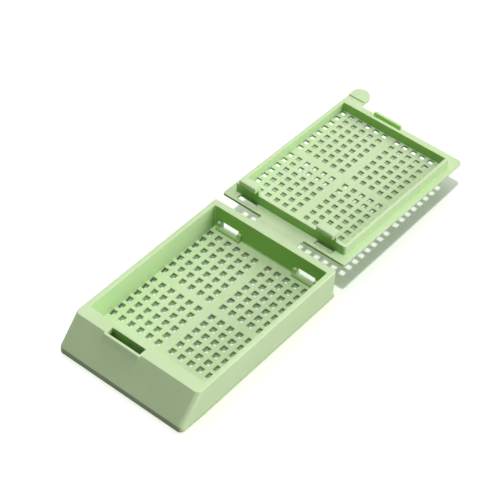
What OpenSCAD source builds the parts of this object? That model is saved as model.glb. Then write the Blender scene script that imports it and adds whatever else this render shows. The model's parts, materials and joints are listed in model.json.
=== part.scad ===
// Tissue processing cassette: a perforated tray and its perforated lid, moulded
// as one piece of plastic with a living hinge between them. The lid is shown
// folded fully back. +Z is up, the tray stands on Z = 0, and the fold line of the
// hinge lies above the origin, along X. The tray runs toward -Y, the lid toward +Y.

/* [Tray] */
// Width of the tray and of the lid plate
tray_w = 28.5; // [26:0.1:34]
// Length of the tray at its rim, from the rear face to the top of the slanted front
tray_l = 38.55; // [36:0.05:46]
// How far the foot of the slanted front reaches past the rim
slant_run = 4.4; // [3.6:0.1:5.2]
// Height of the tray
tray_h = 6.65; // [6:0.05:8]
// Height of the upright strip at the foot of the slanted front
toe_h = 1.3; // [0.8:0.1:2]
// Thickness of the side walls
side_wall = 1.08; // [0.8:0.02:1.3]
// Thickness of the rear wall
rear_wall = 1.55; // [1.3:0.05:1.6]
// Thickness of the floor and of the curved front wall
floor_t = 0.7; // [0.6:0.05:1.2]
// Height of the foot rim below the floor
foot_h = 0.67; // [0.3:0.01:0.8]
// Width of the level land behind the slanted front
land_w = 2.6; // [2.5:0.05:3.4]
// Thickness of the land and of the slanted wall
front_wall = 1.2; // [0.9:0.05:1.4]
// Radius of the hollow of the chamber's front wall
scoop_r = 2.9; // [2.2:0.1:3]
// Radius of the upright corners at the front
front_r = 1; // [0.8:0.1:2.4]
// Radius of the upright corners at the rear
rear_r = 0.6; // [0.5:0.1:1.5]
// Radius of the corners of the chamber
chamber_r = 0.4; // [0.3:0.1:1]
// Radius at the foot of the chamber's rear wall
rear_foot_r = 0.35; // [0.2:0.05:0.6]
// Draft of the chamber's side walls, from the rim down to the floor
wall_draft = 0.1; // [0.05:0.05:0.2]
// Softening of the upper outer edges
edge_r = 0.25; // [0.1:0.05:0.4]

/* [Perforation] */
// Width of each hole in the tray
tray_hole_x = 1.15; // [0.8:0.05:1.25]
// Length of each hole in the tray
tray_hole_y = 1.35; // [0.8:0.05:1.45]
// Side of each square hole in the lid
lid_hole = 1.1; // [0.8:0.05:1.15]
// Spacing of the holes in the tray
tray_pitch = 2.155; // [1.9:0.005:2.2]
// Spacing of the holes across the lid
lid_pitch_x = 2.02; // [1.8:0.01:2.1]
// Spacing of the holes along the lid
lid_pitch_y = 1.99; // [1.8:0.01:2.1]
// Least plastic between a hole and the wall beside it
hole_edge = 0.03; // [0.02:0.01:0.1]
// Extra width of the plain cross that divides the holes into four fields
cross_w = 1.05; // [0.4:0.05:1.4]
// Distance from the tray's rear face to its first row of holes
tray_row0 = 3.77; // [3.6:0.01:4.2]
// Distance from the lid frame's rear face to its first row of holes
lid_row0 = 1.37; // [1.3:0.01:1.4]

/* [Lid] */
// Thickness of the lid plate
lid_t = 0.55; // [0.4:0.05:0.8]
// Height of the frame that drops into the tray
frame_h = 2.05; // [1.4:0.05:2.2]
// Thickness of the frame
frame_t = 0.65; // [0.5:0.05:0.65]
// Draft of the frame's side walls, from the foot to the free edge
frame_draft = 0.05; // [0.05:0.05:0.15]
// Clearance beside the frame in the closed tray
side_gap = 0.25; // [0.2:0.01:0.3]
// Clearance behind the frame in the closed tray
rear_gap = 0.5; // [0.3:0.05:0.7]
// Clearance in front of the frame in the closed tray
front_gap = 0.3; // [0.2:0.05:0.5]
// Gap left between the closed lid and the rim
seat_gap = 0.05; // [0.02:0.01:0.1]
// How far the open lid hangs below level, in degrees
lid_droop = 1.4; // [0:0.1:1.8]
// Radius of the lid plate's corners at its free end
lid_r = 0.9; // [0.4:0.1:1.2]
// Radius of the lid plate's corners beside the hinge
lid_near_r = 0.4; // [0.3:0.1:0.8]
// Radius of the frame's inner corners
frame_in_r = 0.1; // [0.1:0.05:0.2]

/* [Finger tab] */
// Width of the finger tab
tab_w = 3.9; // [3:0.1:6]
// Length of the tab past the lid plate
tab_l = 4.35; // [3:0.05:5]
// Radius of the tab's tip
tab_r = 1.9; // [1:0.1:2]
// Rise of the thicker end of the tab
tab_step = 0.25; // [0.1:0.05:0.4]
// Distance from the lid plate's edge to that rise
tab_step_at = 1.1; // [0.8:0.1:1.6]

/* [Rear hooks] */
// Distance from the chamber's side walls to the centres of the hooks, on average
hook_side = 4.12; // [4.08:0.01:6]
// How far the pair of hooks sits off the middle, toward the tab
hook_off = 0.35; // [0:0.05:0.35]
// Width of each hook
hook_w = 3.9; // [3:0.1:3.9]
// Height of the nose, from the catching face to the tip
nose_h = 0.95; // [0.8:0.05:1]
// How far the nose stands out from the frame
nose_out = 1.23; // [0.9:0.01:1.25]
// Side clearance of a hook in its pocket
hook_gap = 0.1; // [0.08:0.01:0.2]
// Clearance between the catching face and the top of its window
catch_gap = 0.15; // [0.1:0.01:0.3]
// How far each side of a window flares outward through the wall
win_flare = 0.55; // [0.2:0.05:0.6]
// Width of the posts beside each hook pocket
post_w = 0.8; // [0.5:0.05:0.85]
// How far the posts stand into the chamber
post_out = 0.55; // [0.4:0.05:0.8]
// Height of the posts' tops above the sills
post_up = 0.97; // [0.8:0.01:1.6]
// Height of the sills above the floor
sill_h = 0.86; // [0.6:0.01:1.2]
// Clearance between a hook's tip and the sill under it
sill_gap = 0.12; // [0.1:0.01:0.3]
// How far the sill stands into the chamber
sill_out = 0.8; // [0.6:0.05:0.85]

/* [Front latch] */
// Distance of the slot's centre from the middle, toward the tab
latch_x = 2.93; // [2:0.01:4]
// Length of the slot in the tray
slot_w = 7.65; // [7:0.05:9]
// Width of the slot, front to back
slot_l = 1.55; // [1.1:0.05:1.6]
// Distance from the slot to the top of the slanted front
lip_t = 0.05; // [0.05:0.05:0.3]
// How far the lip in front of the slot stands out at the rim
lip_out = 0.6; // [0.3:0.05:0.8]
// Height over which the lip runs out into the slant
lip_h = 1.6; // [1:0.1:2]
// Clearance between the latch and the end of its slot nearer the tab
latch_end_gap = 0.12; // [0.1:0.01:0.4]
// Clearance between the latch and the other end of its slot
latch_far_gap = 1.03; // [0.1:0.01:3]
// Clearance between the latch and the lip
latch_gap = 0.1; // [0.08:0.01:0.2]
// Thickness of the latch
latch_t = 0.6; // [0.4:0.05:0.7]
// Height of the latch above the lid's inner face
latch_h = 1; // [0.8:0.1:1.8]

/* [Living hinge] */
// Width of the hinge strip
hinge_w = 9.9; // [8:0.1:11]
// Distance from the fold line to the tray's rear face
hinge_tray = 1; // [0.8:0.05:1.2]
// Distance from the fold line to the lid plate's edge
hinge_lid = 1.05; // [0.85:0.05:1.2]
// Thickness of the strip
hinge_t = 0.4; // [0.3:0.05:0.5]
// Thickness left at the fold
fold_t = 0.18; // [0.1:0.01:0.25]
// Half the width of the groove at the fold
fold_w = 0.35; // [0.2:0.05:0.5]

/* [Hidden] */
$fn = 48;
green = [0.75, 0.88, 0.6];

// Tray, front to back
rear_y = -hinge_tray;
rim_y = rear_y - tray_l;
toe_y = rim_y - slant_run;
slant = atan2(slant_run, tray_h - toe_h);
floor_z = foot_h + floor_t;
cham_x = tray_w / 2 - side_wall;
cham_rear = rear_y - rear_wall;
cham_front = rim_y + land_w;
scoop_y = cham_front + scoop_r;
scoop_z = floor_z + scoop_r;

// Lid, in its own level position
lid_near = hinge_lid;
lid_far = hinge_tray + tray_l + 0.05;
fr_near = -cham_rear + rear_gap;
fr_far = -cham_front - front_gap;
fr_foot = cham_x - side_gap;
fr_x = fr_foot - frame_draft;
nose_y = fr_near - nose_out;

// Latch and slot, on the tray
slot_y1 = rim_y + lip_t;
slot_y2 = slot_y1 + slot_l;
latch_y = -(slot_y1 + latch_gap);
latch_w = slot_w - latch_end_gap - latch_far_gap;

// Hooks, windows and pockets: the hooks reach down to the sills at any height of tray
hook_x = cham_x - hook_side;
hooks = [-hook_off - hook_x, -hook_off + hook_x];
win_w = hook_w + 2 * hook_gap;
sill_top = floor_z + sill_h;
catch_h = tray_h - seat_gap - sill_top - sill_gap - nose_h;
win_top = tray_h - seat_gap - catch_h + catch_gap;
post_top = sill_top + post_up;

// Half the width of the chamber at height z
function side_at(z) = cham_x - wall_draft * (tray_h - z) / (tray_h - floor_z);

// Columns and rows of holes, as many as the free half width or length takes, each list
// split by the plain cross
function columns(p, half, h) =
    [for (i = [0 : floor((half - (cross_w + p + h) / 2) / p)], s = [-1, 1])
        s * ((cross_w + p) / 2 + i * p)];
function rows(p, len, h) =
    let (n = floor((len - cross_w - h / 2) / p) + 1)
    [for (i = [0 : n - 1]) i * p + (i < ceil(n / 2) ? 0 : cross_w)];
tray_cols = columns(tray_pitch, side_at(floor_z) - hole_edge, tray_hole_x);
tray_rows = rows(tray_pitch, rear_y - tray_row0 - scoop_y - hole_edge, tray_hole_y);
lid_cols = columns(lid_pitch_x, fr_x - frame_t - hole_edge, lid_hole);
lid_rows = rows(lid_pitch_y, fr_far - frame_t - hole_edge - fr_near - lid_row0, lid_hole);

// A plate outline, even about X = 0, with its own radius at each end
module outline(x, y0, y1, r0, r1) {
    polygon([[-x, y0 + r0], [-x + r0, y0], [x - r0, y0], [x, y0 + r0],
             [x, y1 - r1], [x - r1, y1], [-x + r1, y1], [-x, y1 - r1]]);
    for (s = [-1, 1]) {
        translate([s * (x - r0), y0 + r0]) circle(r0);
        translate([s * (x - r1), y1 - r1]) circle(r1);
    }
}

// Runs a profile drawn in Y and Z along X
module across(x0, x1) {
    translate([x0, 0, 0])
        rotate([90, 0, 90]) linear_extrude(x1 - x0) children();
}

// Runs a profile drawn in X and Z along Y
module along(y0, y1) {
    translate([0, y1, 0])
        rotate([90, 0, 0]) linear_extrude(y1 - y0) children();
}

// Holes w wide and l long at every crossing of the columns and rows
module holes(xs, ys, w, l, z0, z1) {
    for (x = xs, y = ys)
        translate([x - w / 2, y - l / 2, z0]) cube([w, l, z1 - z0]);
}

// Outer form of the tray: slanted front, soft upper edges, rounded corners
module tray_form() {
    e = edge_r;
    intersection() {
        across(-tray_w, tray_w)
            polygon([[rear_y, -1], [rear_y, tray_h - e], [rear_y - 0.3 * e, tray_h - 0.3 * e],
                     [rear_y - e, tray_h], [toe_y - 1, tray_h], [toe_y - 1, -1]]);
        linear_extrude(tray_h + 1) outline(tray_w / 2, toe_y, rear_y, front_r, rear_r);
        translate([0, rim_y, tray_h]) rotate([-slant, 0, 0])
            translate([0, 0, -2 * tray_l]) linear_extrude(4 * tray_l)
                outline(tray_w / 2, 0, 3 * tray_l, front_r, front_r);
        along(toe_y - 1, rear_y + 1)
            polygon([[-tray_w / 2, -1], [-tray_w / 2, tray_h - e],
                     [-tray_w / 2 + 0.3 * e, tray_h - 0.3 * e], [-tray_w / 2 + e, tray_h],
                     [tray_w / 2 - e, tray_h], [tray_w / 2 - 0.3 * e, tray_h - 0.3 * e],
                     [tray_w / 2, tray_h - e], [tray_w / 2, -1]]);
    }
}

// The chamber, with the hollow at the foot of its front wall and drafted side walls
module chamber() {
    intersection() {
        across(-tray_w, tray_w) {
            translate([scoop_y, floor_z]) square([cham_rear - rear_foot_r - scoop_y, tray_h]);
            translate([cham_front, scoop_z]) square([cham_rear - cham_front, tray_h]);
            translate([scoop_y, floor_z + rear_foot_r]) square([cham_rear - scoop_y, tray_h]);
            translate([scoop_y, scoop_z]) circle(scoop_r);
            translate([cham_rear - rear_foot_r, floor_z + rear_foot_r]) circle(rear_foot_r);
        }
        translate([0, 0, floor_z]) linear_extrude(tray_h)
            outline(cham_x + 0.04, cham_front, cham_rear, chamber_r, chamber_r);
        along(cham_front - 1, cham_rear + 1)
            polygon([[-side_at(-1), -1], [side_at(-1), -1],
                     [side_at(2 * tray_h), 2 * tray_h], [-side_at(2 * tray_h), 2 * tray_h]]);
    }
}

// The space under the floor and behind the slanted wall, open at the bottom
module underside() {
    inner = front_wall / cos(slant);
    top = tray_h - front_wall;
    across(-cham_x, cham_x)
        difference() {
            polygon([[cham_rear, -1], [cham_rear, foot_h], [cham_front, foot_h], [cham_front, top],
                     [rim_y + inner - front_wall * tan(slant), top],
                     [toe_y + inner, toe_h], [toe_y + front_wall, toe_h - 0.2],
                     [toe_y + front_wall, -1]]);
            translate([scoop_y, scoop_z]) circle(scoop_r + floor_t);
            translate([cham_front - floor_t, scoop_z]) square([tray_l, tray_h]);
        }
}

// One pocket for a rear hook: a sill on the rear wall and two posts on its ends
module pocket() {
    w = win_w / 2 + post_w;
    across(-w, w)
        polygon([[cham_rear + 0.1, floor_z - 0.1], [cham_rear - sill_out, floor_z - 0.1],
                 [cham_rear - sill_out, floor_z + 0.5 * (sill_top - floor_z)],
                 [cham_rear - 0.6 * sill_out, sill_top], [cham_rear + 0.1, sill_top]]);
    for (s = [-1, 1])
        translate([s * (win_w + post_w) / 2, cham_rear, 0])
            along(-post_out, 0.1) {
                translate([-post_w / 2, floor_z]) square([post_w, post_top - post_w / 2 - floor_z]);
                translate([0, post_top - post_w / 2]) circle(d = post_w);
            }
}

// One window through the rear wall, flaring outward and open below
module window() {
    y0 = cham_rear - 0.25;
    w = win_w / 2;
    translate([0, 0, -1]) linear_extrude(win_top + 1)
        polygon([[-w, y0], [w, y0], [w, cham_rear], [w + win_flare, rear_y],
                 [w + win_flare, rear_y + 1], [-w - win_flare, rear_y + 1],
                 [-w - win_flare, rear_y], [-w, cham_rear]]);
}

// The thin lip in front of the latch slot
module lip() {
    translate([-latch_x, 0, 0])
        across(-slot_w / 2 - 0.3, slot_w / 2 + 0.3)
            polygon([[rim_y + lip_t, tray_h], [rim_y - 0.75 * lip_out, tray_h],
                     [rim_y - lip_out, tray_h - 0.2],
                     [rim_y - lip_h * tan(slant), tray_h - lip_h], [rim_y + lip_t, tray_h - lip_h]]);
}

module base() {
    color(green) {
        difference() {
            union() {
                difference() {
                    tray_form();
                    chamber();
                    underside();
                }
                for (x = hooks) translate([x, 0, 0]) pocket();
                lip();
            }
            holes(tray_cols, [for (r = tray_rows) rear_y - tray_row0 - r],
                  tray_hole_x, tray_hole_y, 0, floor_z + 0.1);
            for (x = hooks) translate([x, 0, 0]) window();
            translate([-latch_x - slot_w / 2, slot_y1, tray_h - front_wall - 1])
                cube([slot_w, slot_l, front_wall + 2]);
        }
        hinge_half(hinge_tray, -1);
    }
}

// Half of the living hinge, thinned from below at the fold
module hinge_half(run, s) {
    a = 0.015;
    end = run + 2 * edge_r;
    top = tray_h - (s > 0 ? seat_gap : 0);
    across(-hinge_w / 2, hinge_w / 2)
        polygon([[s * a, tray_h], [s * run, top], [s * end, top], [s * end, tray_h - hinge_t],
                 [s * fold_w, tray_h - hinge_t], [s * a, tray_h - fold_t]]);
}

// Frame of the lid, a rounded ring with its side walls drafted outward to the foot
module frame_ring() {
    d = frame_draft;
    difference() {
        intersection() {
            translate([0, 0, -0.1]) linear_extrude(frame_h + 0.1)
                outline(fr_foot + d, fr_near, fr_far, chamber_r + 0.2, chamber_r + 0.2);
            along(fr_near - 1, fr_far + 1)
                polygon([[-fr_foot - d, -frame_h], [-fr_foot + 2 * d, 2 * frame_h],
                         [fr_foot - 2 * d, 2 * frame_h], [fr_foot + d, -frame_h]]);
        }
        translate([0, 0, -1]) linear_extrude(frame_h + 2)
            outline(fr_x - frame_t, fr_near + frame_t, fr_far - frame_t, frame_in_r, frame_in_r);
    }
}

// One rear hook: the frame's wall drawn up into a blade with a nose
module hook() {
    tip = catch_h + nose_h;
    across(-hook_w / 2, hook_w / 2)
        polygon([[fr_near, -0.1], [fr_near, catch_h], [nose_y, catch_h],
                 [nose_y + 0.1 * nose_h, tip - 0.25 * nose_h], [nose_y + 0.3 * nose_h, tip],
                 [fr_near + frame_t, tip], [fr_near + frame_t, -0.1]]);
}

// The finger tab at the free corner of the lid, with its thicker end
module tab() {
    x0 = -tray_w / 2;
    tip = lid_far + tab_l;
    translate([x0 + tab_w / 2, 0, -lid_t])
        linear_extrude(lid_t) outline(tab_w / 2, lid_far - 2 * lid_r, tip, 0.1, tab_r);
    intersection() {
        translate([x0 + tab_w / 2, 0, -lid_t])
            linear_extrude(lid_t + tab_step) outline(tab_w / 2, lid_far - 2 * lid_r, tip, 0.1, tab_r);
        translate([x0 - 1, lid_far + tab_step_at, -lid_t]) cube([tab_w + 2, tab_l, lid_t + tab_step]);
    }
}

// The lid plate with its holes and hook windows
module plate() {
    difference() {
        union() {
            translate([0, 0, -lid_t]) linear_extrude(lid_t)
                outline(tray_w / 2, lid_near, lid_far, lid_near_r, lid_r);
            tab();
        }
        holes(lid_cols, [for (r = lid_rows) fr_near + lid_row0 + r],
              lid_hole, lid_hole, -lid_t - 0.1, 0.1);
        for (x = hooks)
            translate([x - win_w / 2, nose_y, -lid_t - 0.1])
                cube([win_w, nose_out - 0.05, lid_t + 0.2]);
    }
}

module lid() {
    color(green)
        translate([0, 0, tray_h]) rotate([-lid_droop, 0, 0]) translate([0, 0, -tray_h]) {
            translate([0, 0, tray_h - seat_gap]) {
                plate();
                frame_ring();
                for (x = hooks) translate([x, 0, 0]) hook();
                translate([-latch_x - slot_w / 2 + latch_end_gap, latch_y - latch_t, -0.1])
                    cube([latch_w, latch_t, latch_h + 0.1]);
            }
            hinge_half(hinge_lid, 1);
        }
}

base();
lid();
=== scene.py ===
"""Tissue cassette: looks for a perforated tray with a perforated lid on a living hinge.

Moulded edges are softened on copies of the tray and the lid, a thin film closes the
fold of the hinge, and all of it gets one satin acetal finish on a plain pale stage.
"""

import json
import math

import bmesh
import bpy
from bpy.props import FloatProperty, FloatVectorProperty, IntProperty, PointerProperty
from mathutils import Matrix, Vector
from mathutils.kdtree import KDTree

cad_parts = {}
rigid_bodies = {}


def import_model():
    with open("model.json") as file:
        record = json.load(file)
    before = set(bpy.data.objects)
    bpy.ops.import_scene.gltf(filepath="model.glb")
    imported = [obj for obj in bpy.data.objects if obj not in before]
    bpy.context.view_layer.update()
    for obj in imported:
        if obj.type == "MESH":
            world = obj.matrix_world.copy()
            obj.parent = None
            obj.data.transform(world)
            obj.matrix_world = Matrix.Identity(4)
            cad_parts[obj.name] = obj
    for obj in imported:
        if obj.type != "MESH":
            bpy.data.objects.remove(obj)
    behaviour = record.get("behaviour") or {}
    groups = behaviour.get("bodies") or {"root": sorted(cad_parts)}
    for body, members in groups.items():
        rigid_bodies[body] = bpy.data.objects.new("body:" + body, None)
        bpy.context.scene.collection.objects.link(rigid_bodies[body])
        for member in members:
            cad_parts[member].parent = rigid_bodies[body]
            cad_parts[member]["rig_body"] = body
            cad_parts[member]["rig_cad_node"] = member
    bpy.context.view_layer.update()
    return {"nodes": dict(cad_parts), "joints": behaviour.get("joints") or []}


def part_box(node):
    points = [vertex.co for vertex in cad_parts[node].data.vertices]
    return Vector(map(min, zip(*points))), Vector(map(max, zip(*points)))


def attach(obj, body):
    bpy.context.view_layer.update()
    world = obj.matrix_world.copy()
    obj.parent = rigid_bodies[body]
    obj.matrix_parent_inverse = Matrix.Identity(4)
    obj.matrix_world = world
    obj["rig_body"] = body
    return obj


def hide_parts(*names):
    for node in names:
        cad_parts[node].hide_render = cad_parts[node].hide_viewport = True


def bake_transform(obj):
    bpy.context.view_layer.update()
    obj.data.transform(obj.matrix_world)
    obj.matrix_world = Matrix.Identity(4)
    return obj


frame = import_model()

bl_info = {
    "name": "Tissue Cassette",
    "version": (1, 0, 0),
    "blender": (4, 5, 0),
    "location": "View3D > Sidebar > Cassette",
    "description": "Builds the looks of a moulded tissue cassette on its packed model",
    "category": "Add Mesh",
}

TRAY_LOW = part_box("base")[0]
FOLD = frame["joints"][0]["pos_m"]
MM = 0.001

# Rounding of the moulded edges
SHARP_ANGLE = math.radians(32)  # an edge that bends more than this gets rounded
RUN_ANGLE = math.radians(30)  # two edges that turn less than this form one run
SMOOTH_ANGLE = math.radians(46)  # faces that meet at less than this are shaded smooth
FLAT_ANGLE = math.radians(0.8)  # faces that meet at less than this are one flat face
EDGE_REACH = 2.2  # how far round an edge others are looked for, in edge radii
CORNER_REACH = 1.2  # how near a shared corner others don't count, in those reaches
EDGE_SHARE = 0.45  # part of the room between two edges that each one's rounding takes
EDGE_STEP = 0.1 * MM  # spacing of the points that stand for an edge
WELD = 0.0005 * MM  # corners nearer than this are one corner
CUT_TOLERANCE = 0.0002 * MM  # how near a cut a corner must be to lie on it

# Stage
FLOOR_WIDTH = 6.0  # metres
KEY_LAMP_FROM = (-0.03, -0.05, 1.0)
KEY_LAMP_SPREAD = math.radians(4)
SIDE_LAMP_FROM = (0.92, 0.34, 0.3)
SIDE_LAMP_SPREAD = math.radians(45)
BACK_LIGHT_FROM = (-0.3, 0.55, 0.78)
BACK_LIGHT_FOCUS = 4.0  # a higher power gathers the back light closer round its middle
SENSOR_WIDTH = 36  # millimetres
CAMERA_CLIP = (0.01, 20)  # metres


def linear(code):
    """An sRGB hex value as linear red, green and blue."""
    out = []
    for i in (1, 3, 5):
        c = int(code[i : i + 2], 16) / 255
        out.append(c / 12.92 if c <= 0.04045 else ((c + 0.055) / 1.055) ** 2.4)
    return tuple(out)


# ---------------------------------------------------------------- settings


class CassetteSizes(bpy.types.PropertyGroup):
    """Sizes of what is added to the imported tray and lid."""

    edge_radius: FloatProperty(
        name="Edge radius",
        description="Radius that the mould leaves on every sharp edge",
        default=0.06 * MM,
        min=0.02 * MM,
        max=0.2 * MM,
        unit="LENGTH",
        precision=5,
    )
    edge_steps: IntProperty(
        name="Edge steps",
        description="Faces across a softened edge",
        default=2,
        min=1,
        max=4,
    )
    film_width: FloatProperty(
        name="Fold width",
        description="Width of the living hinge along its fold line",
        default=9.9 * MM,
        min=5 * MM,
        max=15 * MM,
        unit="LENGTH",
        precision=5,
    )
    film_thickness: FloatProperty(
        name="Fold film",
        description="Thickness of the film left at the fold of the living hinge",
        default=0.19 * MM,
        min=0.05 * MM,
        max=0.3 * MM,
        unit="LENGTH",
        precision=5,
    )
    film_reach: FloatProperty(
        name="Film reach",
        description="How far the film runs each way from the fold line",
        default=0.34 * MM,
        min=0.1 * MM,
        max=0.8 * MM,
        unit="LENGTH",
        precision=5,
    )
    film_rise: FloatProperty(
        name="Film rise",
        description="How far the film stands proud of the strip, so that it covers the fold",
        default=0.006 * MM,
        min=0,
        max=0.05 * MM,
        unit="LENGTH",
        precision=6,
    )
    film_steps: IntProperty(
        name="Film steps",
        description="Cuts across the film, where it bends",
        default=11,
        min=3,
        max=31,
    )


class CassetteGrids(bpy.types.PropertyGroup):
    """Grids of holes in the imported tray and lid, measured from the fold line."""

    columns: IntProperty(name="Columns", description="Columns on each side of the middle", default=6)
    cross: FloatProperty(
        name="Cross",
        description="Extra width of the plain cross between the four fields of holes",
        default=1.05 * MM,
        unit="LENGTH",
        precision=5,
    )
    tray_first: FloatProperty(
        name="First tray row",
        description="Distance from the fold to the tray's first row",
        default=4.77 * MM,
        unit="LENGTH",
        precision=5,
    )
    tray_pitch: FloatProperty(
        name="Tray pitch",
        description="Spacing of the tray's holes",
        default=2.155 * MM,
        unit="LENGTH",
        precision=6,
    )
    tray_rows: IntProperty(name="Tray rows", description="Rows of holes in the tray", default=13)
    lid_first: FloatProperty(
        name="First lid row",
        description="Distance from the fold to the lid's first row",
        default=4.42 * MM,
        unit="LENGTH",
        precision=5,
    )
    lid_pitch_x: FloatProperty(
        name="Lid pitch across",
        description="Spacing of the lid's columns",
        default=2.02 * MM,
        unit="LENGTH",
        precision=5,
    )
    lid_pitch_y: FloatProperty(
        name="Lid pitch along",
        description="Spacing of the lid's rows",
        default=1.99 * MM,
        unit="LENGTH",
        precision=5,
    )
    lid_rows: IntProperty(name="Lid rows", description="Rows of holes in the lid", default=16)
    droop: FloatProperty(
        name="Droop",
        description="How far the open lid hangs below level",
        default=math.radians(1.4),
        subtype="ANGLE",
    )


class CassetteColours(bpy.types.PropertyGroup):
    """Colours of the plastic and of the stage."""

    plastic: FloatVectorProperty(
        name="Plastic",
        description="Colour of the moulded acetal",
        subtype="COLOR",
        size=3,
        min=0,
        max=1,
        default=linear("#DAF0C4"),
    )
    plastic_deep: FloatVectorProperty(
        name="Plastic, denser",
        description="Colour where the pigment lies a little denser",
        subtype="COLOR",
        size=3,
        min=0,
        max=1,
        default=linear("#CEE5B3"),
    )
    # Painted shade: the deeper, darker green that bounced light takes, so the plastic's shaded walls
    # come out darker and greener
    plastic_painted_shade: FloatVectorProperty(
        name="Plastic, as it lights",
        description="Colour of the light that the plastic throws on its own walls",
        subtype="COLOR",
        size=3,
        min=0,
        max=1,
        default=linear("#94D04C"),
    )
    floor: FloatVectorProperty(
        name="Floor",
        description="Colour of the floor under the cassette",
        subtype="COLOR",
        size=3,
        min=0,
        max=1,
        default=linear("#FAFAFA"),
    )
    floor_lift: FloatProperty(
        name="Floor lift",
        description="How much brighter the floor is seen than it is lit",
        default=1.32,
        min=0,
    )
    # Painted light: an even green-grey glow that the floor shows to the camera, which lifts and tints
    # the plastic's cast shadows
    floor_painted_glow: FloatVectorProperty(
        name="Floor glow",
        description="Faint light that comes through the plastic and fills its shadow",
        subtype="COLOR",
        size=3,
        min=0,
        max=1,
        default=linear("#7A8273"),
    )
    floor_bounce: FloatVectorProperty(
        name="Floor, as it lights",
        description="Colour of the floor as it throws light up at the cassette",
        subtype="COLOR",
        size=3,
        min=0,
        max=1,
        default=linear("#989898"),
    )


class CassetteStage(bpy.types.PropertyGroup):
    """Camera and light."""

    lens: FloatProperty(
        name="Lens",
        description="Focal length for a 36 mm wide frame, in millimetres",
        default=127.73,
        min=20,
        max=300,
    )
    azimuth: FloatProperty(
        name="Camera azimuth",
        description="Turn of the camera from the slanted front toward +X",
        default=math.radians(36.336),
        subtype="ANGLE",
    )
    elevation: FloatProperty(
        name="Camera elevation",
        description="Height of the camera above the horizon",
        default=math.radians(45.4),
        subtype="ANGLE",
    )
    roll: FloatProperty(
        name="Camera roll",
        description="Turn of the camera about its own axis",
        default=math.radians(3.93),
        subtype="ANGLE",
    )
    distance: FloatProperty(
        name="Camera distance",
        description="Distance from the camera to the point it aims at",
        default=328.24 * MM,
        unit="LENGTH",
    )
    aim: FloatVectorProperty(
        name="Aim",
        description="Point that the camera aims at",
        size=3,
        subtype="TRANSLATION",
        default=(-2.972 * MM, -4.479 * MM, 3.0 * MM),
    )
    key: FloatProperty(
        name="Key light",
        description="Strength of the lamp high above the cassette",
        default=1.32,
        min=0,
    )
    side: FloatProperty(
        name="Side light",
        description="Strength of the broad lamp on the +X side",
        default=2.3,
        min=0,
    )
    back: FloatProperty(
        name="Back light",
        description="Brightness of the soft light behind the lid",
        default=1.25,
        min=0,
    )


# ---------------------------------------------------------------- helpers


def clear_selection():
    """Leaves edit mode and deselects everything."""
    if bpy.context.object and bpy.context.object.mode != "OBJECT":
        bpy.ops.object.mode_set(mode="OBJECT")
    bpy.ops.object.select_all(action="DESELECT")


def make_active(obj):
    """Makes one object the only selected one."""
    clear_selection()
    obj.select_set(True)
    bpy.context.view_layer.objects.active = obj


def apply_modifier(obj, name):
    """Applies a modifier to the object's mesh."""
    make_active(obj)
    bpy.ops.object.modifier_apply(modifier=name)


def run_of(runs, index):
    """The first edge of the run that an edge belongs to."""
    while runs[index] != index:
        index = runs[index]
    return index


def weigh_edges(mesh, radius):
    """Weighs each outer edge for the bevel: full, or less where another edge is close.

    Edges that follow each other smoothly, as round a corner, form one run and get
    one weight, so that the rounding keeps its width along them.
    """
    reach = EDGE_REACH * radius
    shape = bmesh.new()
    shape.from_mesh(mesh)
    weight = shape.edges.layers.float.new("bevel_weight_edge")
    sharp = [
        edge
        for edge in shape.edges
        if len(edge.link_faces) == 2 and edge.calc_face_angle(0.0) > SHARP_ANGLE
    ]
    place_of = {edge: place for place, edge in enumerate(sharp)}
    runs = list(range(len(sharp)))
    ends = {}
    for place, edge in enumerate(sharp):
        for vert in edge.verts:
            for other in vert.link_edges:
                if other is edge or other not in place_of or other.is_convex != edge.is_convex:
                    continue
                one = (edge.other_vert(vert).co - vert.co).normalized()
                two = (other.other_vert(vert).co - vert.co).normalized()
                if one.dot(two) < -math.cos(RUN_ANGLE):
                    runs[run_of(runs, place)] = run_of(runs, place_of[other])
    runs = [run_of(runs, place) for place in range(len(sharp))]
    for place, edge in enumerate(sharp):
        for vert in edge.verts:
            ends.setdefault(vert, set()).add(runs[place])
    shared = {}
    for vert, meeting in ends.items():
        for one in meeting:
            for two in meeting - {one}:
                shared.setdefault((one, two), []).append(vert.co)
    points = []
    for place, edge in enumerate(sharp):
        start, end = (vert.co for vert in edge.verts)
        count = max(2, round(edge.calc_length() / EDGE_STEP))
        points += [(start.lerp(end, (i + 0.5) / count), place) for i in range(count)]
    tree = KDTree(len(points))
    for number, (point, _) in enumerate(points):
        tree.insert(point, number)
    tree.balance()
    room = [reach] * len(sharp)
    for point, place in points:
        for _, number, distance in tree.find_range(point, reach):
            other = points[number][1]
            pair = (runs[place], runs[other])
            if pair[0] == pair[1]:
                continue
            if any((corner - point).length < CORNER_REACH * reach for corner in shared.get(pair, ())):
                continue
            if not sharp[other].is_convex:
                distance *= 2
            room[pair[0]] = min(room[pair[0]], distance)
    for place, edge in enumerate(sharp):
        if edge.is_convex:
            edge[weight] = min(1.0, EDGE_SHARE * room[runs[place]] / radius)
    shape.to_mesh(mesh)
    shape.free()


def grid_planes(grids, first, pitch_x, pitch_y, rows, toward, droop):
    """Planes through the middles of the columns and rows of holes of one piece."""
    planes = []
    for i in range(grids.columns):
        for side in (-1, 1):
            x = side * ((grids.cross + pitch_x) / 2 + i * pitch_x)
            planes.append((Vector((x, 0, 0)), Vector((1, 0, 0))))
    along = Vector((0, toward * math.cos(droop), -math.sin(droop)))
    for i in range(rows):
        y = first + i * pitch_y + (grids.cross if i >= (rows + 1) // 2 else 0.0)
        planes.append((Vector(FOLD) + along * y, along))
    return planes


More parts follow.
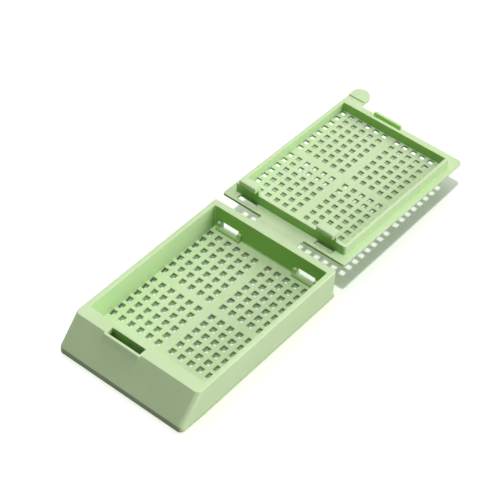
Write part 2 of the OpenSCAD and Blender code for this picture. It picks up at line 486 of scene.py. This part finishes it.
def softened_copy(node, name, radius, steps, planes):
    """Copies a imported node, welds it and rounds its sharp outer edges.

    The planes cut the flat faces through their holes first, which leaves no face
    with a hole in its middle.
    """
    source = frame["nodes"][node]
    piece = source.copy()
    piece.data = source.data.copy()
    piece.name = name
    piece.data.name = name
    piece.parent = None
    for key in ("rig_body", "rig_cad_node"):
        if key in piece:
            del piece[key]
    bpy.context.scene.collection.objects.link(piece)
    make_active(piece)
    piece.data.materials.clear()
    if piece.data.has_custom_normals:
        bpy.ops.mesh.customdata_custom_splitnormals_clear()
    bpy.ops.object.mode_set(mode="EDIT")
    bpy.ops.mesh.select_all(action="SELECT")
    bpy.ops.mesh.remove_doubles(threshold=WELD)
    for point, normal in planes:
        bpy.ops.mesh.select_all(action="SELECT")
        bpy.ops.mesh.bisect(plane_co=point, plane_no=normal, threshold=CUT_TOLERANCE)
        bpy.ops.mesh.mark_seam()
    bpy.ops.mesh.select_all(action="SELECT")
    bpy.ops.mesh.dissolve_limited(
        angle_limit=FLAT_ANGLE, use_dissolve_boundaries=False, delimit={"SEAM"}
    )
    bpy.ops.object.mode_set(mode="OBJECT")
    weigh_edges(piece.data, radius)
    bevel = piece.modifiers.new("soft_edges", "BEVEL")
    bevel.limit_method = "WEIGHT"
    bevel.width = radius
    bevel.segments = steps
    bevel.use_clamp_overlap = False
    bevel.miter_outer = "MITER_SHARP"
    apply_modifier(piece, "soft_edges")
    make_active(piece)
    bpy.ops.object.shade_smooth_by_angle(angle=SMOOTH_ANGLE)
    even = piece.modifiers.new("even_normals", "WEIGHTED_NORMAL")
    even.mode = "FACE_AREA"
    even.weight = 100
    even.keep_sharp = True
    apply_modifier(piece, "even_normals")
    return piece


def add_node(tree, kind, inputs=None, **settings):
    """Adds a node with its settings, and links or sets its inputs."""
    node = tree.nodes.new(kind)
    for key, value in settings.items():
        setattr(node, key, value)
    for key, value in (inputs or {}).items():
        if isinstance(value, bpy.types.NodeSocket):
            tree.links.new(value, node.inputs[key])
        else:
            node.inputs[key].default_value = value
    return node


# ---------------------------------------------------------------- materials


def satin_acetal(name, colours):
    """Acetal (POM), injection moulded against a lightly spark-eroded steel mould.

    The mould leaves a fine even grain that spreads highlights softly, the pigment
    lies a little denser where the melt folded, and a thin wall lets some light in.
    """
    material = bpy.data.materials.new(name)
    material.use_nodes = True
    tree = material.node_tree
    tree.nodes.clear()
    where = add_node(tree, "ShaderNodeTexCoord").outputs["Object"]

    # Flow of the melt: soft clouds about 9 mm across
    clouds = add_node(
        tree,
        "ShaderNodeTexNoise",
        {"Vector": where, "Scale": 1 / (9 * MM), "Detail": 3.0, "Roughness": 0.5},
    )
    tone = add_node(
        tree,
        "ShaderNodeMix",
        {
            "Factor": clouds.outputs["Fac"],
            "A": (*colours.plastic, 1),
            "B": (*colours.plastic_deep, 1),
        },
        data_type="RGBA",
    )

    # Painted shade: light bounced from wall to wall takes a deeper, darker green than the plastic's own
    # colour, which darkens and greens its shaded walls
    path = add_node(tree, "ShaderNodeLightPath")
    body = add_node(
        tree,
        "ShaderNodeMix",
        {
            "Factor": path.outputs["Is Diffuse Ray"],
            "A": tone.outputs["Result"],
            "B": (*colours.plastic_painted_shade, 1),
        },
        data_type="RGBA",
    )

    # Mould grain: spark-eroded steel has a grain near 0.04 mm, drawn at 0.12 mm so that it shows
    grain = add_node(
        tree,
        "ShaderNodeTexNoise",
        {"Vector": where, "Scale": 1 / (0.12 * MM), "Detail": 2.0, "Roughness": 0.6},
    )
    # Slight waviness of the walls as they cooled, about 2.5 mm across
    ripple = add_node(
        tree,
        "ShaderNodeTexNoise",
        {"Vector": where, "Scale": 1 / (2.5 * MM), "Detail": 2.0, "Roughness": 0.5},
    )
    fine = add_node(
        tree,
        "ShaderNodeBump",
        {"Height": grain.outputs["Fac"], "Distance": 0.004 * MM, "Strength": 0.5},
    )
    soft = add_node(
        tree,
        "ShaderNodeBump",
        {
            "Height": ripple.outputs["Fac"],
            "Distance": 0.03 * MM,
            "Strength": 0.35,
            "Normal": fine.outputs["Normal"],
        },
    )
    # The gloss changes a little with that waviness
    rough = add_node(
        tree,
        "ShaderNodeMapRange",
        {"Value": ripple.outputs["Fac"], "To Min": 0.42, "To Max": 0.54},
    )
    shader = add_node(
        tree,
        "ShaderNodeBsdfPrincipled",
        {
            "Base Color": body.outputs["Result"],
            "Roughness": rough.outputs["Result"],
            "Normal": soft.outputs["Normal"],
            "IOR": 1.48,
            "Specular IOR Level": 0.22,
            "Subsurface Weight": 0.4,
            "Subsurface Radius": (0.8, 1.0, 0.35),
            "Subsurface Scale": 0.7 * MM,
        },
    )
    add_node(tree, "ShaderNodeOutputMaterial", {"Surface": shader.outputs["BSDF"]})
    return material


def pale_floor(colours):
    """Matt white board: white where it is seen, with a painted glow there that lifts and tints the
    shadows, and dimmer where it lights the plastic.
    """
    material = bpy.data.materials.new("matt_white_board")
    material.use_nodes = True
    tree = material.node_tree
    tree.nodes.clear()
    path = add_node(tree, "ShaderNodeLightPath")
    seen = add_node(
        tree,
        "ShaderNodeMath",
        {0: path.outputs["Is Camera Ray"], 1: path.outputs["Is Glossy Ray"]},
        operation="ADD",
    )
    seen = add_node(
        tree,
        "ShaderNodeMath",
        {0: seen.outputs[0], 1: path.outputs["Is Transmission Ray"]},
        operation="ADD",
        use_clamp=True,
    )
    tone = add_node(
        tree,
        "ShaderNodeMix",
        {
            "Factor": seen.outputs[0],
            "A": (*colours.floor_bounce, 1),
            "B": (*(colours.floor_lift * part for part in colours.floor), 1),
        },
        data_type="RGBA",
    )
    board = add_node(
        tree, "ShaderNodeBsdfDiffuse", {"Color": tone.outputs["Result"], "Roughness": 0.0}
    )
    # Painted light: the floor glows where it is seen, a faint green-grey that fills the shadows
    glow = add_node(
        tree,
        "ShaderNodeEmission",
        {"Color": (*colours.floor_painted_glow, 1), "Strength": seen.outputs[0]},
    )
    both = add_node(tree, "ShaderNodeAddShader", {0: board.outputs[0], 1: glow.outputs[0]})
    add_node(tree, "ShaderNodeOutputMaterial", {"Surface": both.outputs[0]})
    return material


# ---------------------------------------------------------------- operators


class CASSETTE_OT_tray(bpy.types.Operator):
    """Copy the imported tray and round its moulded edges"""

    bl_idname = "cassette.tray"
    bl_label = "Make tray"

    def execute(self, context):
        sizes = context.scene.cassette_sizes
        grids = context.scene.cassette_grids
        planes = grid_planes(
            grids, grids.tray_first, grids.tray_pitch, grids.tray_pitch, grids.tray_rows, -1, 0.0
        )
        piece = softened_copy("base", "tray", sizes.edge_radius, sizes.edge_steps, planes)
        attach(piece, "base")
        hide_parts("base")
        return {"FINISHED"}


class CASSETTE_OT_lid(bpy.types.Operator):
    """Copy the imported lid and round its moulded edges"""

    bl_idname = "cassette.lid"
    bl_label = "Make lid"

    def execute(self, context):
        sizes = context.scene.cassette_sizes
        grids = context.scene.cassette_grids
        planes = grid_planes(
            grids,
            grids.lid_first,
            grids.lid_pitch_x,
            grids.lid_pitch_y,
            grids.lid_rows,
            1,
            grids.droop,
        )
        piece = softened_copy("lid", "pierced_lid", sizes.edge_radius, sizes.edge_steps, planes)
        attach(piece, "lid")
        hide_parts("lid")
        return {"FINISHED"}


class CASSETTE_OT_film(bpy.types.Operator):
    """Close the fold of the living hinge with its thin film"""

    bl_idname = "cassette.film"
    bl_label = "Make fold film"

    def execute(self, context):
        sizes = context.scene.cassette_sizes
        fold = Vector(FOLD)
        clear_selection()
        bpy.ops.mesh.primitive_cube_add(size=1.0, location=(0, 0, 0))
        film = context.object
        film.name = "fold_film"
        film.data.name = "fold_film"
        film.scale = (sizes.film_width - 2 * sizes.film_rise, 2 * sizes.film_reach, sizes.film_thickness)
        film.location = fold + Vector((0, 0, sizes.film_rise - sizes.film_thickness / 2))
        bpy.ops.object.transform_apply(location=True, rotation=True, scale=True)
        bpy.ops.object.mode_set(mode="EDIT")
        for i in range(sizes.film_steps):
            y = sizes.film_reach * (2 * (i + 1) / (sizes.film_steps + 1) - 1)
            bpy.ops.mesh.select_all(action="SELECT")
            bpy.ops.mesh.bisect(plane_co=fold + Vector((0, y, 0)), plane_no=(0, 1, 0))
        bpy.ops.object.mode_set(mode="OBJECT")
        bpy.ops.object.shade_smooth_by_angle(angle=SMOOTH_ANGLE)
        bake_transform(film)
        return {"FINISHED"}


class CASSETTE_OT_finish(bpy.types.Operator):
    """Give the tray, the lid and the hinge film their plastic"""

    bl_idname = "cassette.finish"
    bl_label = "Apply plastic"

    def execute(self, context):
        plastic = satin_acetal("moulded_satin_acetal", context.scene.cassette_colours)
        for name in ("tray", "pierced_lid", "fold_film"):
            piece = bpy.data.objects[name]
            piece.data.materials.clear()
            piece.data.materials.append(plastic)
        for node in frame["nodes"].values():
            node.data.materials.clear()
            node.data.materials.append(plastic)
        return {"FINISHED"}


class CASSETTE_OT_stage(bpy.types.Operator):
    """Lay the floor, hang the lamp, light the room and set the camera"""

    bl_idname = "cassette.stage"
    bl_label = "Set the stage"

    def execute(self, context):
        scene = context.scene
        stage = scene.cassette_stage
        clear_selection()
        bpy.ops.mesh.primitive_plane_add(size=FLOOR_WIDTH, location=(0, 0, TRAY_LOW.z))
        floor = context.object
        floor.name = "floor"
        floor.data.materials.append(pale_floor(scene.cassette_colours))

        world = bpy.data.worlds.new("pale_room")
        scene.world = world
        world.use_nodes = True
        tree = world.node_tree
        tree.nodes.clear()
        path = add_node(tree, "ShaderNodeLightPath")
        seen = add_node(
            tree,
            "ShaderNodeMath",
            {0: path.outputs["Is Camera Ray"], 1: path.outputs["Is Transmission Ray"]},
            operation="ADD",
            use_clamp=True,
        )
        where = add_node(tree, "ShaderNodeTexCoord").outputs["Generated"]
        facing = add_node(
            tree, "ShaderNodeVectorMath", {0: where, 1: BACK_LIGHT_FROM}, operation="DOT_PRODUCT"
        )
        ahead = add_node(
            tree, "ShaderNodeMath", {0: facing.outputs["Value"], 1: 0.0}, operation="MAXIMUM"
        )
        lobe = add_node(
            tree, "ShaderNodeMath", {0: ahead.outputs[0], 1: BACK_LIGHT_FOCUS}, operation="POWER"
        )
        glow = add_node(
            tree, "ShaderNodeMath", {0: lobe.outputs[0], 1: stage.back}, operation="MULTIPLY"
        )
        level = add_node(
            tree,
            "ShaderNodeMapRange",
            {"Value": seen.outputs[0], "To Min": glow.outputs[0], "To Max": 1.0},
        )
        sky = add_node(
            tree,
            "ShaderNodeBackground",
            {"Color": (1, 1, 1, 1), "Strength": level.outputs["Result"]},
        )
        add_node(tree, "ShaderNodeOutputWorld", {"Surface": sky.outputs[0]})

        for name, aim, strength, spread in (
            ("key_lamp", KEY_LAMP_FROM, stage.key, KEY_LAMP_SPREAD),
            ("side_lamp", SIDE_LAMP_FROM, stage.side, SIDE_LAMP_SPREAD),
        ):
            clear_selection()
            to_light = Vector(aim).normalized()
            bpy.ops.object.light_add(type="SUN", location=to_light)
            lamp = context.object
            lamp.name = name
            lamp.rotation_euler = to_light.to_track_quat("Z", "Y").to_euler()
            lamp.data.energy = strength
            lamp.data.angle = spread

        # The side lamp lights the cassette only, so it throws no second shadow
        unlit = bpy.data.collections.new("not_lit_by_side_lamp")
        unlit.objects.link(floor)
        unlit.collection_objects[0].light_linking.link_state = "EXCLUDE"
        side_lamp = bpy.data.objects["side_lamp"]
        side_lamp.light_linking.receiver_collection = unlit

        clear_selection()
        back = Vector(
            (
                math.sin(stage.azimuth) * math.cos(stage.elevation),
                -math.cos(stage.azimuth) * math.cos(stage.elevation),
                math.sin(stage.elevation),
            )
        )
        bpy.ops.object.camera_add(location=Vector(stage.aim) + back * stage.distance)
        camera = context.object
        camera.name = "camera"
        turn = Matrix.Rotation(stage.roll, 3, "Z")
        camera.rotation_euler = (back.to_track_quat("Z", "Y").to_matrix() @ turn).to_euler()
        camera.data.lens = stage.lens
        camera.data.sensor_width = SENSOR_WIDTH
        camera.data.clip_start, camera.data.clip_end = CAMERA_CLIP
        scene.camera = camera
        scene.view_settings.view_transform = "Standard"
        return {"FINISHED"}


class CASSETTE_PT_panel(bpy.types.Panel):
    """Tissue cassette"""

    bl_idname = "CASSETTE_PT_panel"
    bl_label = "Tissue cassette"
    bl_space_type = "VIEW_3D"
    bl_region_type = "UI"
    bl_category = "Cassette"

    def draw(self, context):
        for group in ("cassette_sizes", "cassette_grids", "cassette_colours", "cassette_stage"):
            box = self.layout.box()
            settings = getattr(context.scene, group)
            for name in settings.__annotations__:
                box.prop(settings, name)
        for operator in OPERATORS:
            self.layout.operator(operator.bl_idname)


OPERATORS = (
    CASSETTE_OT_tray,
    CASSETTE_OT_lid,
    CASSETTE_OT_film,
    CASSETTE_OT_finish,
    CASSETTE_OT_stage,
)
GROUPS = (CassetteSizes, CassetteGrids, CassetteColours, CassetteStage)


def register():
    for item in (*GROUPS, *OPERATORS, CASSETTE_PT_panel):
        bpy.utils.register_class(item)
    bpy.types.Scene.cassette_sizes = PointerProperty(type=CassetteSizes)
    bpy.types.Scene.cassette_grids = PointerProperty(type=CassetteGrids)
    bpy.types.Scene.cassette_colours = PointerProperty(type=CassetteColours)
    bpy.types.Scene.cassette_stage = PointerProperty(type=CassetteStage)


def unregister():
    del bpy.types.Scene.cassette_stage
    del bpy.types.Scene.cassette_colours
    del bpy.types.Scene.cassette_grids
    del bpy.types.Scene.cassette_sizes
    for item in reversed((*GROUPS, *OPERATORS, CASSETTE_PT_panel)):
        bpy.utils.unregister_class(item)


def main():
    register()
    bpy.ops.cassette.tray()
    bpy.ops.cassette.lid()
    bpy.ops.cassette.film()
    bpy.ops.cassette.finish()
    bpy.ops.cassette.stage()
    bpy.context.view_layer.update()


if __name__ == "__main__":
    main()
